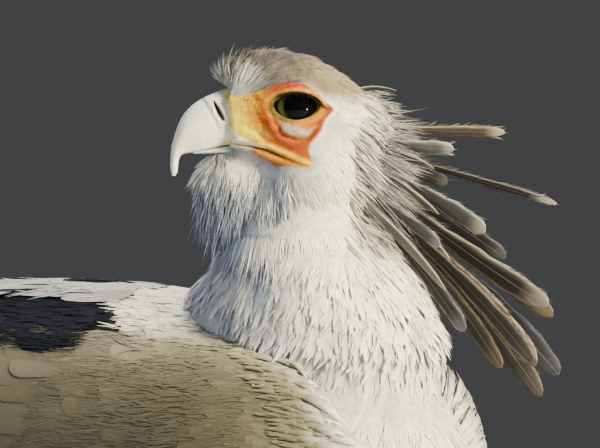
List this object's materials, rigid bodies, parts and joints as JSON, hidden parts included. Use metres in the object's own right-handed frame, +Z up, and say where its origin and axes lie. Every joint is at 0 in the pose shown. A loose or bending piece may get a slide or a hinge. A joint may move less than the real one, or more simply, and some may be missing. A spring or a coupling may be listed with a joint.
{
  "type": "secretary bird model",
  "caption": "Standing long-legged bird of prey with drawn-in neck, head turned over its right shoulder, hooked bill, loose nape crest, folded wings and long streamer tail.",
  "frame": {"origin": "centre of the bounding box's footprint, on the floor that both feet stand on", "axes": "+Z up; the body heads towards -Y and the tail lies towards +Y; the bird's own left is +X"},
  "size_m": [0.2512, 1.0668, 0.9717],
  "materials": {
    "pale_plumage": "matte",
    "head_plumage": "matte",
    "wing_plumage": "matte",
    "tail_plumage": "matte",
    "black_plumage": "matte",
    "bill_horn": "satin",
    "eye": "glossy",
    "leg_skin": "satin",
    "claw_horn": "satin"
  },
  "bodies": {
    "root": {"trunk": "pale_plumage", "neck": "pale_plumage", "head": "head_plumage", "bill_upper": "bill_horn", "bill_lower": "bill_horn", "eye_L": "eye", "eye_R": "eye", "wing_L": "wing_plumage", "wing_R": "wing_plumage", "tail": "tail_plumage", "tail_streamer_L": "tail_plumage", "tail_streamer_R": "tail_plumage", "thigh_L": "black_plumage", "thigh_R": "black_plumage", "shank_L": "leg_skin", "shank_R": "leg_skin", "foot_L": "leg_skin", "foot_R": "leg_skin", "claw_L_mid": "claw_horn", "claw_L_inner": "claw_horn", "claw_L_outer": "claw_horn", "claw_L_hind": "claw_horn", "claw_R_mid": "claw_horn", "claw_R_inner": "claw_horn", "claw_R_outer": "claw_horn", "claw_R_hind": "claw_horn"}
  },
  "joints": []
}
